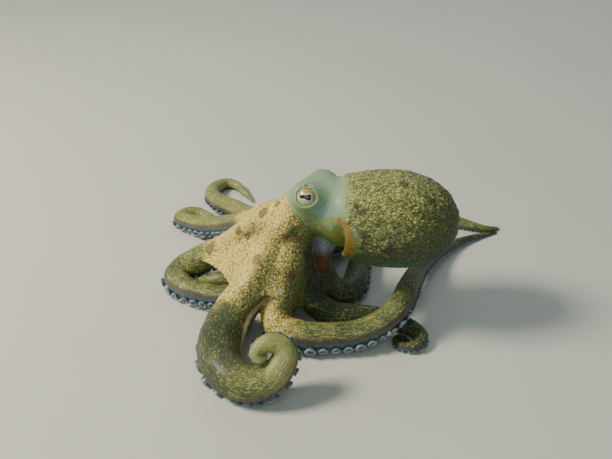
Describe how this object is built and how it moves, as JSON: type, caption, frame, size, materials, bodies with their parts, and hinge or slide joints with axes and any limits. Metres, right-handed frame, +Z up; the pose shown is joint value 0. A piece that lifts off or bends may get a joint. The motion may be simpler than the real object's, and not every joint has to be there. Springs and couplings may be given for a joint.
{
  "type": "octopus",
  "caption": "Common octopus, life size, crouching on its curled arms, with the rounded mantle held up behind the head.",
  "frame": {"origin": "on the floor, at the middle of the spread arms", "axes": "+Z up; the head looks towards -X and the mantle points to +X; the animal's left side faces -Y"},
  "size_m": [0.3419, 0.3658, 0.1341],
  "materials": {
    "skin": "wet mottled skin",
    "eye": "clear glossy"
  },
  "bodies": {
    "root": {"arm_left1_1": "skin", "arm_left1_2": "skin", "arm_left1_3": "skin", "arm_left1_4": "skin", "arm_left1_5": "skin", "arm_left2_1": "skin", "arm_left2_2": "skin", "arm_left2_3": "skin", "arm_left2_4": "skin", "arm_left2_5": "skin", "arm_left3_1": "skin", "arm_left3_2": "skin", "arm_left3_3": "skin", "arm_left3_4": "skin", "arm_left3_5": "skin", "arm_left3_6": "skin", "arm_left4_1": "skin", "arm_left4_2": "skin", "arm_left4_3": "skin", "arm_left4_4": "skin", "arm_left4_5": "skin", "arm_right1_1": "skin", "arm_right1_2": "skin", "arm_right1_3": "skin", "arm_right1_4": "skin", "arm_right1_5": "skin", "arm_right2_1": "skin", "arm_right2_2": "skin", "arm_right2_3": "skin", "arm_right2_4": "skin", "arm_right3_1": "skin", "arm_right3_2": "skin", "arm_right3_3": "skin", "arm_right3_4": "skin", "arm_right4_1": "skin", "arm_right4_2": "skin", "arm_right4_3": "skin", "arm_right4_4": "skin", "arm_right4_5": "skin", "crown": "skin", "eye_left": "eye", "eye_right": "eye", "funnel": "skin", "head": "skin", "mantle": "skin", "web_left1_left2": "skin", "web_left2_left3": "skin", "web_left3_left4": "skin", "web_left4_right4": "skin", "web_right1_left1": "skin", "web_right2_right1": "skin", "web_right3_right2": "skin", "web_right4_right3": "skin"}
  },
  "joints": []
}
